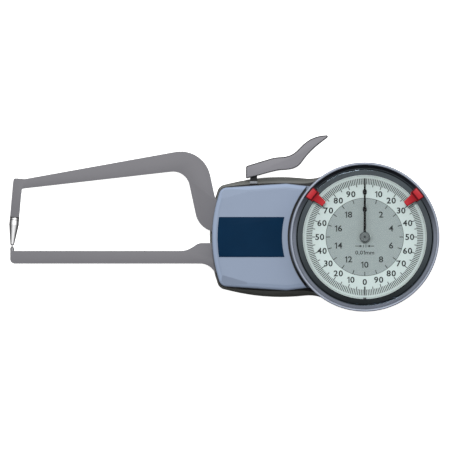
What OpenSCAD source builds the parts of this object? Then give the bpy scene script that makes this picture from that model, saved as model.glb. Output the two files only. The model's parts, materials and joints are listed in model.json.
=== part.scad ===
// Dial caliper gauge, lying on its back with the arms closed.
// Z is the dial axis, the arms run along -X and the thumb lever stands on +Y.

/* [Rear housing] */
// Length of the rear housing beyond the bezel
body_l = 34.5; // [32:0.1:38]
// Half height of the rear housing at its belly
body_half = 25.8; // [25.2:0.1:27]
// Distance from the bezel's edge to the widest place of the belly
belly_back = 3.9; // [1:0.1:7]
// Radius of the belly's long curve
belly_r = 90; // [76:1:100]
// Radius of the rounded left end
end_r = 61.5; // [56:0.5:68]
// Radius of the two left corners
corner_r = 3.6; // [3.2:0.1:5]
// Radius of the waist between the body and the round case
waist_r = 16; // [8:0.5:20]
// Wall of the rear housing and of the front cover
wall = 2; // [1.6:0.1:2.4]
// Rounding of the back edge
back_edge_r = 2; // [1:0.1:2.4]
// Height of the bosses under the base plate
standoff_h = 2.5; // [2:0.1:4]

/* [Front cover] */
// Half height of the front cover at its crest
cover_half = 23; // [22.4:0.1:24]
// Set-back of the cover's left end from the rear housing
cover_setback = 0.9; // [0.5:0.1:1.5]
// Distance from the bezel's edge to the cover's crest
crest_back = 1.9; // [0:0.1:5]
// Rounding of the crest
crest_r = 10; // [6:0.5:16]
// Slope of the long edges between the left corners and the crest
rise_angle = 3.7; // [2:0.1:5]
// Slope of the short edges between the crest and the dial
fall_angle = 7; // [4:0.1:10]
// Rounding of the front edge
cover_edge_r = 2.4; // [1.5:0.1:3]
// Slope of the two shallow facets at the left corners
facet_angle = 9.5; // [4:0.5:10]
// Thickness of the seam gasket
gasket_t = 0.4; // [0.3:0.05:0.8]
// Gap between the bezel and the cover's round recess
recess_gap = 1.1; // [0.6:0.1:1.6]
// Half height of the label plate
label_half = 8.6; // [6:0.1:11]
// Thickness of the label plate
label_t = 0.3; // [0.2:0.05:0.6]

/* [Dial] */
// Outside radius of the bezel
bezel_r = 32.1; // [31.6:0.1:33]
// Wall of the bezel's skirt
bezel_wall = 2; // [1.7:0.1:2.3]
// Height of the bezel's skirt below the top of the case
skirt_h = 4.6; // [4.2:0.1:5.2]
// Width of the round bead on the bezel's rim
bead_w = 1.1; // [0.8:0.05:1.3]
// Width of the bezel's inner cone
cone_w = 1.4; // [1.2:0.05:1.6]
// Width of the dial ring around the dial that shows
ring_w = 3.35; // [2.6:0.05:4.6]
// Thickness of the dial plate
dial_t = 0.6; // [0.4:0.1:1]
// Height of the dial ring between dial and crystal
ring_h = 3.5; // [3.3:0.1:5]
// Thickness of the crystal
crystal_t = 1.4; // [1.2:0.1:2]
// Drop of the crystal's sloped edge
crystal_drop = 0.9; // [0.4:0.1:1]
// Gap between the long hand's point and the edge of the dial
hand_gap = 1.55; // [0.8:0.05:6]
// Length of the short hand from the dial axis
short_hand_l = 15.5; // [10:0.1:20]
// Thickness of both hands
hand_t = 0.3; // [0.2:0.05:0.4]
// Radius of the cap on the long hand
cap_r = 2.25; // [1.8:0.05:3]
// Angle of each tolerance marker from the top of the dial
marker_angle = 51; // [30:1:80]
// Width of a tolerance marker's block
marker_w = 5.2; // [4:0.1:6]
// How far a tolerance marker's finger reaches in over the dial
finger_reach = 4.3; // [2.2:0.05:6.5]

/* [Arms] */
// Measuring depth from the left end of the housing to the contact
measuring_depth = 85; // [75:1:100]
// Height of the contact point relative to the dial axis
contact_y = -3.7; // [-4.5:0.1:-3]
// Gap left between the contact tip and the anvil when closed
contact_gap = 0.15; // [0.1:0.05:0.3]
// Thickness of both arms
arm_t = 5; // [4:0.1:6]
// Height of the fixed arm's beam
fixed_arm_h = 5.5; // [5:0.1:6.4]
// Height of the anvil above the fixed arm
anvil_h = 2.1; // [1.8:0.05:2.6]
// Radius of the anvil
anvil_r = 0.85; // [0.6:0.05:1.2]
// Rise of the fixed arm's root above its beam
root_rise = 3.4; // [2.8:0.05:3.6]
// Length of the contact tip
tip_l = 12.3; // [10:0.1:14]
// Largest radius of the contact tip
tip_r = 2.1; // [1.6:0.05:2.3]
// Tilt of the contact tip and its leg
tip_tilt = 5; // [3:0.1:8]
// Width of the leg that carries the contact tip
leg_w = 4; // [3.4:0.1:5]
// Length of the leg along its outer side
leg_l = 16.7; // [15:0.1:20]
// Length of the leg along its inner side
leg_inside_l = 12.4; // [10.5:0.1:14]
// Slope of the moving arm's upper edge
beam_top_angle = 10.2; // [9:0.1:12]
// Slope of the moving arm's lower edge
beam_low_angle = 6.5; // [5.5:0.1:8]
// Outside radius of the moving arm's bend
bend_outer_r = 13; // [10:0.5:15]
// Inside radius of the moving arm's bend
bend_inner_r = 7.2; // [5:0.2:9]
// Slope of the moving arm's root inside the housing
root_angle = 20; // [17:0.5:23]
// Radius of the moving arm's hub
hub_r = 6.5; // [6:0.1:7]

/* [Lever] */
// Width of the thumb lever along Z
lever_w = 8; // [6:0.5:10]
// Height of the lever's underside at the stem
lever_y = 25.8; // [25.6:0.1:28]
// Width of the stem that carries the lever
stem_w = 3; // [2.4:0.1:3.6]
// Offset of the stem from the pivot
stem_offset = -2.2; // [-3:0.1:-1.5]

/* [Movement] */
// Distance from the housing's left end to the arm pivot
pivot_back = 21; // [19:0.1:23]
// Height of the arm pivot relative to the dial axis
pivot_y = 2; // [1.4:0.1:3]
// Opening angle of the moving arm
open_angle = 10.8; // [8:0.1:11]
// Radius of the pivot shaft
shaft_r = 2; // [1.6:0.1:2.4]
// Tooth count of the sector, counted over a full circle
sector_teeth = 192; // [186:1:198]
// Tooth module of the sector
sector_m = 0.42; // [0.4:0.005:0.44]
// Tooth count of the three small pinions
pinion_teeth = 12; // [12:1:14]
// Tooth count of the first wheel
first_teeth = 50; // [46:1:54]
// Tooth count of the pipe's pinion
pipe_pinion_teeth = 24; // [22:1:26]
// Tooth count of the pipe's wheel
pipe_wheel_teeth = 40; // [38:1:44]
// Tooth count of the second wheel
second_teeth = 36; // [34:1:38]
// Tooth module of the wheels
train_m = 0.3; // [0.28:0.005:0.32]
// Pressure angle of all teeth
pressure_angle = 25; // [22:0.5:26]
// Thinning of each tooth for play
tooth_play = 0.08; // [0.06:0.01:0.12]
// Thickness of the wheels
gear_t = 1.2; // [0.8:0.1:1.6]
// Thickness of the sector
sector_t = 1.5; // [1:0.1:2]
// Thickness of the base plate
base_t = 2; // [1.6:0.1:3]
// Thickness of the movement plate
plate_t = 1.4; // [1.2:0.1:2]
// Thickness of the pivot bridge
bridge_t = 2; // [1.5:0.1:2.2]
// Direction of the second arbor from the dial axis
second_angle = 60; // [50:1:75]
// Turns of the return spring
spring_turns = 12; // [8:1:14]

/* [Fits] */
// Radial clearance of a shaft that turns in its bush
run_fit = 0.04; // [0.02:0.01:0.08]
// Radial clearance of a piece that is seated in another
seat_fit = 0.02; // [0.01:0.005:0.04]
// Room between pieces that move past each other
swing_gap = 0.3; // [0.2:0.05:0.5]
// Radial play of the bezel on the case
bezel_play = 0.1; // [0.06:0.01:0.15]

/* [Hidden] */
$fn = 96;

// How far a cutting shape stands past the face that it cuts
over = 0.5;

// Radii from the bezel inwards
case_wall = 1.5;
drum_step = 0.9;
drum_skin = 0.35;
bezel_bore_r = bezel_r - bezel_wall;
case_r = bezel_bore_r - bezel_play;
case_bore_r = case_r - case_wall;
drum_r = bezel_r - drum_step;
recess_r = bezel_r + recess_gap;
seated_r = bezel_bore_r - seat_fit;
lip_r = bezel_r - bead_w - cone_w;
dial_r = bezel_bore_r - ring_w;
hand_l = dial_r - hand_gap;
finger_r = dial_r - finger_reach;
body_left = bezel_r + body_l;
belly_x = bezel_r + belly_back;
crest_x = bezel_r + crest_back;

// Steps between the heights of the stack
seam_rise = 0.5;
arm_lift = 0.2;
hub_boss = 0.4;
low_gear_lift = 0.9;
mid_gear_lift = 0.8;
gear_gap = 0.6;
bridge_lift = 1.3;
plate_lift = 0.7;
screw_room = 1.8;
cover_rise = 0.2;
recess_floor = 1.5;
notch_room = 0.5;
dial_lift = 0.4;
crystal_gasket_t = 0.3;
lip_land = 0.4;
cone_slope = 0.75;
short_hand_lift = 0.8;
pipe_lift = 1.3;
long_hand_lift = 1.8;
cap_h = 0.9;

// Heights from the back upwards
base_z0 = wall + standoff_h;
base_z1 = base_z0 + base_t;
seam_z = base_z1 + seam_rise;
cover_z0 = seam_z + gasket_t;
arm_z0 = cover_z0 + arm_lift;
arm_z1 = arm_z0 + arm_t;
arm_mid_z = (arm_z0 + arm_z1) / 2;
sector_z0 = arm_z1 + hub_boss;
sector_z1 = sector_z0 + sector_t;
level_a = base_z1 + low_gear_lift;
level_b = sector_z1 + mid_gear_lift;
level_c = level_b + gear_t + gear_gap;
bridge_z0 = sector_z1 + bridge_lift;
bridge_z1 = bridge_z0 + bridge_t;
plate_z0 = level_c + gear_t + plate_lift;
plate_z1 = plate_z0 + plate_t;
case_top = max(plate_z1, bridge_z1 + 1) + screw_room;
bezel_z0 = case_top - skirt_h;
drum_top = bezel_z0 - swing_gap;
cover_top = case_top + cover_rise;
ceiling_z = cover_top - wall;
recess_z0 = bezel_z0 - 0.5;
shelf_z0 = recess_z0 - recess_floor;
notch_z1 = arm_z1 + notch_room;
dial_z0 = case_top + dial_lift;
dial_z1 = dial_z0 + dial_t;
ring_z1 = dial_z1 + ring_h;
crystal_z0 = ring_z1 + crystal_gasket_t;
crystal_z1 = crystal_z0 + crystal_t;
flange_z1 = crystal_z1 - crystal_drop;
cone_z0 = crystal_z1 + lip_land;
bezel_top = cone_z0 + cone_slope * cone_w + bead_w / 2;
pipe_top = dial_z1 + pipe_lift;
short_hand_z = dial_z1 + short_hand_lift;
long_hand_z = dial_z1 + long_hand_lift;
cap_z1 = long_hand_z + hand_t + cap_h;

// Places in the plane of the dial
pivot = [pivot_back - body_left, pivot_y];
contact = [-(body_left + measuring_depth), contact_y];
stem_x = pivot.x + stem_offset;
limb_w = 4;
limb_l = 13.5;
limb_top = pivot_y + limb_l;
lap_y = pivot_y + hub_r + 0.7;
end_centre = [end_r - body_left, 0];
seam_half = cover_half + 0.4;
seam_left = body_left - cover_setback + 0.3;
seam_belly_r = 2 * belly_r;
fixed_top = contact_y - contact_gap - anvil_h;
fixed_low = fixed_top - fixed_arm_h;
tail_gap = 1.8;
tail_drop = 4;
tail_reach = 5.6;
tail_top = pivot_y - hub_r - tail_gap;
tail_low = fixed_low - tail_drop;
tail_end = pivot.x + tail_reach;
cover_screw_at = [
  [12.6 - body_left, cover_half - 4.8],
  [8.6 - body_left, 4.8 - cover_half],
  [-recess_r + 4.2, cover_half - 4.5],
  [-recess_r + 4.2, 4.5 - cover_half]
];
base_screw_at = [[9.6 - body_left, 9], [1.2 - recess_r, -12.5], [6, 19.5], [6, -19.5]];
fixed_screw_at = [[tail_end - 17.5, tail_top - 4.2], [tail_end - 4, tail_top - 4.7]];
dowel_at = [[tail_end - 13, tail_low + 2.6], [tail_end - 7.5, tail_low + 2.6]];
tail_pillar_at = [tail_end - 10.5, tail_top - 4.5];
bridge_pillar_at = [[pivot.x + 9.6, pivot_y + 13], [pivot.x + 10.6, pivot_y - 18]];
plate_pillar_at = [[-13, 13], [10, 14], [15, -9]];
dial_screw_at = [for (a = [80, 260]) polar((dial_r + seated_r) / 2, a)];

// Screws and pins
head_room = 0.2;
screw_r = 1.25;
screw_seat_r = 2 * screw_r;
screw_head_r = screw_seat_r - head_room;
cover_seat_z = 1.7;
cover_thread_l = 6.5;
base_seat_h = 1;
small_screw_r = 0.8;
small_head_r = 1.4;
small_head_h = 0.8;
thread_l = 4;
thread_grip = 3;
dial_screw_r = 0.5;
dial_screw_l = 1;
boss_r = 2.6;
pillar_r = 1.75;
spigot_r = 1;
pin_r = 0.8;
stop_r = 1;
bush_r = 1.6;
pivot_bush_r = shaft_r + 1.2;
arbor_r = 0.9;
thin_arbor_r = 0.7;
journal_r = 0.5;
pipe_r = 1.5;
pipe_bush_r = pipe_r + 1;

// Grooves between the case and the bezel
o_ring_r = 0.55;
o_ring_groove_h = 1.2;
o_ring_groove_d = 1.1;
o_ring_z = bezel_z0 + 0.8;
snap_groove_h = 1;
snap_groove_d = 0.6;
snap_play = 0.1;
snap_z = bezel_z0 + 3;

// Gear train
addendum = 0.9;
dedendum = 1.15;
sector_cd = sector_m * (sector_teeth + pinion_teeth) / 2;
pipe_cd = train_m * (first_teeth + pipe_pinion_teeth) / 2;
second_cd = train_m * (pipe_wheel_teeth + pinion_teeth) / 2;
centre_m = 2 * second_cd / (second_teeth + pinion_teeth);
first_at = circles_meet(pivot, sector_cd, [0, 0], pipe_cd, -1);
second_at = polar(second_cd, second_angle);
sector_dir = heading(pivot, first_at);
first_dir = heading(first_at, [0, 0]);
sector_pitch = 360 / sector_teeth;
sector_first = -3;
sector_last = ceil(open_angle / sector_pitch) + 3;
sector_mid = sector_dir + sector_pitch * (sector_first + sector_last) / 2;
spring_inset = 21.6;
spring_arm = norm(pivot) - spring_inset;
spring_pin_at = pivot + polar(spring_arm, sector_mid);
spring_post_at = [spring_pin_at.x, 12.5];
spring_z = sector_z1 + 1.8;
spring_hook_h = 1.6;
stud_at = first_at + polar(6.6, -60);

// A point at a radius and an angle
function polar(r, a) = [r * cos(a), r * sin(a)];

// The direction from one point to another
function heading(p, q) = atan2(q.y - p.y, q.x - p.x);

// Points along an arc, with its last one and without it
function arc(c, r, a0, a1, n) = [for (i = [0:n]) c + polar(r, a0 + (a1 - a0) * i / n)];
function arc_open(c, r, a0, a1, n) = [for (i = [0:n - 1]) c + polar(r, a0 + (a1 - a0) * i / n)];

// Where two circles meet, on the left side (1) or the right side (-1) of the line between them
function circles_meet(c1, r1, c2, r2, side) =
  let (d = norm(c2 - c1), e = (c2 - c1) / d, a = (d * d + r1 * r1 - r2 * r2) / (2 * d))
  c1 + a * e + side * sqrt(r1 * r1 - a * a) * [-e.y, e.x];

// Where a line through p at angle a meets a line through q at angle b
function lines_meet(p, a, q, b) =
  let (u = polar(1, a), v = polar(1, b), w = q - p)
  p + u * (w.x * v.y - w.y * v.x) / (u.x * v.y - u.y * v.x);

// A round bend of radius r from the line (p, a) into the line (q, b)
function to_right(a) = [sin(a), -cos(a)];
function bend(p, a, q, b, r, n = 8) =
  let (s = sign(b - a))
  let (c = lines_meet(p - s * r * to_right(a), a, q - s * r * to_right(b), b))
  arc(c, r, a - s * 90, b - s * 90, n);

// A cubic curve without its last point
function curve(p, q, r, s, n = 7) = [
  for (i = [0:n - 1])
    let (t = i / n, u = 1 - t)
    u * u * u * p + 3 * u * u * t * q + 3 * u * t * t * r + t * t * t * s
];

// A closed outline from its upper half, which starts and ends on the X axis
function both_halves(h) = concat(h, [for (i = [len(h) - 2:-1:1]) [h[i].x, -h[i].y]]);

// The rear housing's outline: round case, waist, belly, corner and left end, drawn in by d
function body_outline(half, left, long_r, d) =
  let (case_skin = drum_r + drum_skin)
  let (belly_c = [-belly_x, half - long_r], end_c = [end_r - left, 0])
  let (corner_c = circles_meet(belly_c, long_r - corner_r, end_c, end_r - corner_r, 1))
  let (waist_c = circles_meet([0, 0], case_skin + waist_r, belly_c, long_r + waist_r, -1))
  let (a1 = heading([0, 0], waist_c), a2 = heading(belly_c, waist_c))
  let (a3 = heading(belly_c, corner_c), a4 = heading(end_c, corner_c))
  both_halves(concat(
    arc_open([0, 0], case_skin - d, 0, a1, 20),
    arc_open(waist_c, waist_r + d, a1 + 180, a2 + 180, 6),
    arc_open(belly_c, long_r - d, a2, a3, 10),
    arc_open(corner_c, corner_r - d, a3, a4, 6),
    arc(end_c, end_r - d, a4, 180, 6)
  ));
function seam_outline(d) = body_outline(seam_half, seam_left, seam_belly_r, d);

// The front cover's outline: short edge, crest, long edge, corner and left end, drawn in by d
cover_right = -15;
function cover_outline(d) =
  let (crest_c = [-crest_x, cover_half - crest_r], r = crest_r - d)
  let (a1 = 90 - fall_angle, a2 = 90 + rise_angle)
  let (start = crest_c + polar(r, a1))
  let (inner_end_r = end_r - cover_setback - corner_r)
  let (foot = crest_c + polar(crest_r - corner_r, a2), along = polar(1, a2 + 90))
  let (b = along * (foot - end_centre), c = (foot - end_centre) * (foot - end_centre))
  let (corner_c = foot + along * (sqrt(b * b - c + inner_end_r * inner_end_r) - b))
  let (a3 = heading(end_centre, corner_c))
  both_halves(concat(
    [[cover_right / 2, 0]],
    [[cover_right, start.y - (cover_right - start.x) * tan(fall_angle)]],
    arc(crest_c, r, a1, a2, 4),
    arc_open(corner_c, corner_r - d, a2, a3, 6),
    arc(end_centre, end_r - cover_setback - d, a3, 180, 8)
  ));

// The stack of outlines that a shell is lofted through
function at_height(outline, z) = [for (p = outline) [p.x, p.y, z]];
edge_steps = 5;
rear_rings = concat(
  [for (i = [0:edge_steps])
    let (a = 90 * i / edge_steps)
    at_height(
      body_outline(body_half, body_left, belly_r, back_edge_r * (1 - sin(a))),
      back_edge_r * (1 - cos(a)))],
  [for (i = [0:edge_steps])
    let (a = 90 * i / edge_steps, t = 1 - cos(a), z0 = back_edge_r + 1)
    at_height(
      body_outline(
        body_half + (seam_half - body_half) * t,
        body_left + (seam_left - body_left) * t,
        belly_r + (seam_belly_r - belly_r) * t, 0),
      z0 + (seam_z - z0) * sin(a))]
);
cover_rings = concat(
  [at_height(cover_outline(0), cover_z0)],
  [for (i = [0:edge_steps])
    let (a = 90 * i / edge_steps)
    at_height(
      cover_outline(cover_edge_r * (1 - cos(a))),
      cover_top - cover_edge_r * (1 - sin(a)))]
);

// A closed skin through a stack of outlines that have the same number of points
module loft(rings) {
  n = len(rings[0]);
  top = (len(rings) - 1) * n;
  polyhedron(
    points = [for (r = rings) each r],
    faces = concat(
      [[for (i = [0:n - 1]) i]],
      [[for (i = [n - 1:-1:0]) top + i]],
      [for (k = [0:len(rings) - 2], i = [0:n - 1])
        let (a = k * n + i, b = k * n + (i + 1) % n)
        each [[a, a + n, b + n], [a, b + n, b]]]
    )
  );
}

// Shapes that repeat
module at(p, z = 0) {
  translate([p.x, p.y, z]) children();
}

module slab(z0, z1) {
  translate([0, 0, z0]) linear_extrude(z1 - z0) children();
}

module disc(r, z0, z1) {
  translate([0, 0, z0]) cylinder(r = r, h = z1 - z0);
}

module tube(r, bore, z0, z1) {
  difference() {
    disc(r, z0, z1);
    disc(bore, z0 - over, z1 + over);
  }
}

module ring(outer, inner, z0, z1) {
  translate([0, 0, z0]) rotate_extrude() translate([inner, 0]) square([outer - inner, z1 - z0]);
}

module box(x0, x1, y0, y1) {
  translate([x0, y0]) square([x1 - x0, y1 - y0]);
}

module bar(p, q, w) {
  translate(p) rotate(heading(p, q)) translate([0, -w / 2]) square([norm(q - p), w]);
}

// A slotted screw with its head standing on z = 0
module screw(r, length, head_r, head_h) {
  slot_w = head_r / 4;
  difference() {
    union() {
      disc(head_r, 0, head_h);
      disc(r, -length, 0);
    }
    slab(head_h * 0.55, head_h + over) square([3 * head_r, slot_w], center = true);
  }
}

// A pillar on a spigot, with a threaded hole in its top
module pillar(z0, z1, spigot) {
  difference() {
    union() {
      disc(pillar_r, z0, z1);
      disc(spigot_r, z0 - spigot, z0 + over);
    }
    disc(small_screw_r + seat_fit, z1 - thread_l, z1 + over);
  }
}

// One gear tooth from root to root, centred on angle a
function involute(a) = tan(a) * 180 / PI - a;
function tooth_half(teeth, m, r) =
  let (pitch_r = m * teeth / 2, base_r = pitch_r * cos(pressure_angle))
  (PI * m / 2 - tooth_play) / (2 * pitch_r) * 180 / PI
    + involute(pressure_angle) - involute(acos(min(1, base_r / r)));
function tooth(teeth, m, a) =
  let (pitch_r = m * teeth / 2, root_r = pitch_r - dedendum * m, tip_r = pitch_r + addendum * m)
  let (start_r = max(root_r, pitch_r * cos(pressure_angle)), steps = 3)
  let (radii = [for (i = [0:steps]) start_r + (tip_r - start_r) * i / steps])
  let (foot = tooth_half(teeth, m, start_r), undercut = start_r > root_r + 0.001)
  concat(
    undercut ? [polar(root_r, a - foot)] : [],
    [for (r = radii) polar(r, a - tooth_half(teeth, m, r))],
    [for (i = [steps:-1:0]) polar(radii[i], a + tooth_half(teeth, m, radii[i]))],
    undercut ? [polar(root_r, a + foot)] : []
  );
function gear(teeth, m, phase) = [
  for (i = [0:teeth - 1]) each tooth(teeth, m, phase + 360 * i / teeth)
];

// The tooth angle of gear b that meshes with gear a, whose tooth stands at phase
function mesh_phase(teeth_a, phase, dir, teeth_b) =
  dir + 180 + 360 / teeth_b * (0.5 - teeth_a * (phase - dir) / 360);

// Housing

module rear_housing() {
  window_half = 17;
  window_right = -12;
  window_lintel = 0.8;
  color("dimgray") difference() {
    union() {
      difference() {
        union() {
          loft(rear_rings);
          disc(drum_r, wall, drum_top);
          disc(case_r, wall, case_top);
        }
        slab(wall, seam_z + over) polygon(seam_outline(wall));
        disc(case_bore_r, wall, case_top + over);
        slab(wall, drum_top - window_lintel) box(-recess_r, window_right, -window_half, window_half);
      }
      for (p = cover_screw_at) at(p) disc(boss_r, wall - over, seam_z);
      for (p = base_screw_at) at(p) disc(boss_r, wall - over, base_z0);
    }
    for (p = cover_screw_at) at(p) {
      disc(screw_r + seat_fit, -over, seam_z + over);
      disc(screw_seat_r, -over, cover_seat_z);
    }
    for (p = base_screw_at) at(p) disc(screw_r + seat_fit, wall / 2, base_z0 + over);
    ring(case_r + over, case_r - o_ring_groove_d, o_ring_z, o_ring_z + o_ring_groove_h);
    ring(case_r + over, case_r - snap_groove_d, snap_z, snap_z + snap_groove_h);
  }
}

module facet_cut() {
  start_in = 2.6;
  start_up = 7.5;
  facet_l = 20;
  facet_drop = 6;
  reach = 40;
  from = [start_in - body_left, start_up - cover_half];
  to = from + [facet_l, -facet_drop];
  at(from, cover_top) rotate([0, 0, heading(from, to)]) rotate([facet_angle, 0, 0])
    translate([-reach, -reach, 0]) cube([2 * reach, reach, cover_edge_r + over]);
}

// The slot in the cover's top wall that the stem swings in
stem_travel = (cover_half - pivot_y) * sin(open_angle);
slot_margin = 1.3;
slot_x0 = stem_x - stem_w / 2 - slot_margin;
slot_x1 = stem_x + stem_w / 2 + stem_travel + slot_margin;
fixed_notch_top = fixed_top + root_rise + notch_room;
fixed_notch_low = tail_low - 0.4;
fixed_notch_l = 6;
moving_notch_low = 0.8;
moving_notch_l = 8.6;
slot_lip = 2;

module cover_slots() {
  slab(cover_z0 - over, notch_z1) {
    box(-body_left - over, moving_notch_l - body_left, moving_notch_low, cover_half + over);
    box(-body_left - over, fixed_notch_l - body_left, fixed_notch_low, fixed_notch_top);
    box(slot_x0, slot_x1, cover_half - wall - slot_lip, cover_half + over);
  }
}

module front_cover() {
  color("lightsteelblue") difference() {
    union() {
      difference() {
        loft(cover_rings);
        slab(cover_z0 - over, shelf_z0) polygon(cover_outline(wall));
        slab(shelf_z0 - over, ceiling_z) difference() {
          polygon(cover_outline(wall));
          circle(r = recess_r + wall);
        }
      }
      for (p = cover_screw_at) at(p) disc(boss_r - swing_gap, cover_z0, ceiling_z + over);
    }
    for (p = cover_screw_at) at(p) disc(screw_r + seat_fit, cover_z0 - over, cover_z0 + cover_thread_l);
    disc(drum_r + swing_gap, cover_z0 - over, recess_z0 + over);
    disc(recess_r, recess_z0, cover_top + over);
    cover_slots();
    facet_cut();
    mirror([0, 1, 0]) facet_cut();
  }
}

module label_plate() {
  margin = 2.4;
  color("midnightblue") slab(cover_top, cover_top + label_t) difference() {
    intersection() {
      box(-body_left, 0, -label_half, label_half);
      translate(end_centre) circle(r = end_r - cover_setback - margin);
    }
    circle(r = recess_r + margin);
  }
}

module housing_gasket() {
  color("black") slab(seam_z, cover_z0) difference() {
    polygon(seam_outline(0.2));
    polygon(seam_outline(wall));
    circle(r = drum_r + swing_gap);
  }
}

module cover_screws() {
  head_h = 1.4;
  grip = 4;
  color("gray") for (p = cover_screw_at) at(p, cover_seat_z) mirror([0, 0, 1])
    screw(screw_r, cover_z0 + grip, screw_head_r, head_h);
}

// Chassis inside the housing

module base_plate() {
  base_r = 23.5;
  base_half = 15;
  base_in = 6;
  pad_in = 6.5;
  pad_margin = 0.4;
  pressed = concat(bridge_pillar_at, plate_pillar_at);
  color("silver") difference() {
    union() {
      slab(base_z0, base_z1) {
        box(base_in - body_left, 0, -base_half, base_half);
        circle(r = base_r);
        for (p = bridge_pillar_at) translate(p) circle(r = 2 * pillar_r);
      }
      slab(base_z1 - over, arm_z0) box(pad_in - body_left, tail_end, tail_low + pad_margin, tail_top);
    }
    for (p = cover_screw_at) at(p) disc(boss_r + swing_gap, base_z0 - over, base_z1 + over);
    for (p = base_screw_at) at(p) {
      disc(screw_r + seat_fit, base_z0 - over, base_z1 + over);
      disc(screw_seat_r, base_z1 - base_seat_h, base_z1 + over);
    }
    for (p = pressed) at(p) disc(spigot_r + seat_fit, base_z0 - over, base_z1 + over);
    for (p = fixed_screw_at) at(p) disc(screw_r + seat_fit, base_z0 - over, arm_z0 + over);
    for (p = dowel_at) at(p) disc(spigot_r + seat_fit, base_z0 - over, arm_z0 + over);
    for (p = [spring_post_at, stud_at]) at(p) disc(pin_r + seat_fit, base_z0 - over, base_z1 + over);
    at(open_stop_at) disc(stop_r + seat_fit, base_z0 - over, base_z1 + over);
    at(pivot) disc(pivot_bush_r + seat_fit, base_z0 - over, base_z1 + over);
    for (p = [first_at, second_at, [0, 0]]) at(p)
      disc(bush_r + seat_fit, base_z0 - over, base_z1 + over);
  }
}

module base_plate_screws() {
  head_h = base_seat_h - 0.1;
  color("gray") for (p = base_screw_at) at(p, base_z1 - base_seat_h)
    screw(screw_r, base_t - base_seat_h + standoff_h, screw_head_r, head_h);
}

// Fixed arm

fixed_left = contact.x - anvil_r;
nose_corner_r = 2;
chin = [2.2 - body_left, fixed_low - 3.7];
chin_angle = -50;
chin_r = 7;
nape = [12.6 - body_left, tail_top];
nape_angle = 135;
nape_r = 3;
root_top = [0, fixed_top + root_rise];
flare = [-7.4 - body_left, fixed_top + root_rise / 2];
flare_angle = 213;
flare_top_r = 4.5;
flare_low_r = 9;
fixed_outline = concat(
  [[fixed_left, fixed_top]],
  bend([fixed_left, fixed_top], -90, [0, fixed_low], 0, nose_corner_r),
  bend([0, fixed_low], 0, chin, chin_angle, chin_r),
  [lines_meet(chin, chin_angle, [0, tail_low], 0)],
  [[tail_end, tail_low], [tail_end, tail_top], nape],
  bend(nape, nape_angle, root_top, 180, nape_r, 4),
  bend(root_top, 180, flare, flare_angle, flare_top_r, 6),
  bend(flare, flare_angle, [0, fixed_top], 180, flare_low_r, 8)
);
anvil_step = 0.25;
anvil_seat_l = 3;
anvil_spigot_l = 2.8;

module fixed_arm() {
  color("darkgray") difference() {
    slab(arm_z0, arm_z1) polygon(fixed_outline);
    for (p = concat(fixed_screw_at, [tail_pillar_at])) at(p)
      disc(screw_r + seat_fit, arm_z0 - over, arm_z1 + over);
    for (p = dowel_at) at(p) disc(spigot_r + seat_fit, arm_z0 - over, arm_z1 + over);
    translate([contact.x, fixed_top - anvil_seat_l, arm_mid_z]) rotate([-90, 0, 0])
      cylinder(r = anvil_r - anvil_step + seat_fit, h = anvil_seat_l + over);
  }
}

// The anvil's spigot, collar and ball end, turned about its own axis
module anvil() {
  nose_r = anvil_r / 2;
  nose_h = anvil_h - nose_r;
  spigot = anvil_r - anvil_step;
  profile = concat(
    [[0, -anvil_spigot_l], [spigot, -anvil_spigot_l], [spigot, 0], [anvil_r, 0], [anvil_r, nose_h - nose_r]],
    arc([0, nose_h], nose_r, 0, 90, 8)
  );
  color("dimgray") translate([contact.x, fixed_top, arm_mid_z]) rotate([-90, 0, 0])
    rotate_extrude() polygon(profile);
}

module fixed_arm_screws() {
  head_h = 2;
  color("gray") for (p = fixed_screw_at) at(p, arm_z1)
    screw(screw_r, arm_t + base_t, screw_seat_r, head_h);
}

module fixed_arm_dowels() {
  color("silver") for (p = dowel_at) at(p) disc(spigot_r, base_z0, arm_z1);
}

module fixed_arm_seal() {
  skin = 0.3;
  reach = 5;
  color("black") difference() {
    slab(cover_z0, notch_z1 - seat_fit) intersection() {
      difference() {
        polygon(cover_outline(skin));
        polygon(cover_outline(wall - skin));
      }
      box(-body_left, reach - body_left, fixed_notch_low + seat_fit, fixed_notch_top - seat_fit);
    }
    slab(arm_z0, arm_z1) polygon(fixed_outline);
  }
}

module lever_seal() {
  skin = 0.3;
  lip = 0.8;
  room = 0.1;
  color("black") difference() {
    slab(cover_z0, notch_z1 - seat_fit) intersection() {
      difference() {
        polygon(cover_outline(skin));
        polygon(cover_outline(wall - skin));
      }
      box(slot_x0 + seat_fit, slot_x1 - seat_fit, 0, cover_half);
    }
    slab(arm_z0, arm_z1 + room) box(slot_x0 + lip, slot_x1 - lip, 0, cover_half + over);
  }
}

// Pivot bridge

module pivot_bridge() {
  feet = concat(bridge_pillar_at, [tail_pillar_at]);
  foot_rim = 0.4;
  eye_wall = 2;
  color("silver") difference() {
    slab(bridge_z0, bridge_z1) {
      for (p = feet) {
        bar(pivot, p, 2 * pillar_r);
        translate(p) circle(r = pillar_r + foot_rim);
      }
      translate(pivot) circle(r = pivot_bush_r + eye_wall);
    }
    for (p = feet) at(p) disc(small_screw_r + seat_fit, bridge_z0 - over, bridge_z1 + over);
    at(pivot) disc(pivot_bush_r + seat_fit, bridge_z0 - over, bridge_z1 + over);
  }
}

module bridge_pillars() {
  color("lightgray") {
    for (p = bridge_pillar_at) at(p) pillar(base_z1, bridge_z0, base_t);
    at(tail_pillar_at) difference() {
      union() {
        disc(pillar_r, arm_z1, bridge_z0);
        disc(screw_r, arm_z0 + over, arm_z1 + over);
      }
      disc(small_screw_r + seat_fit, bridge_z0 - thread_l, bridge_z0 + over);
    }
  }
}

module bridge_screws() {
  color("gray") for (p = concat(bridge_pillar_at, [tail_pillar_at])) at(p, bridge_z1)
    screw(small_screw_r, bridge_t + thread_grip, pillar_r, small_head_h);
}

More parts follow.
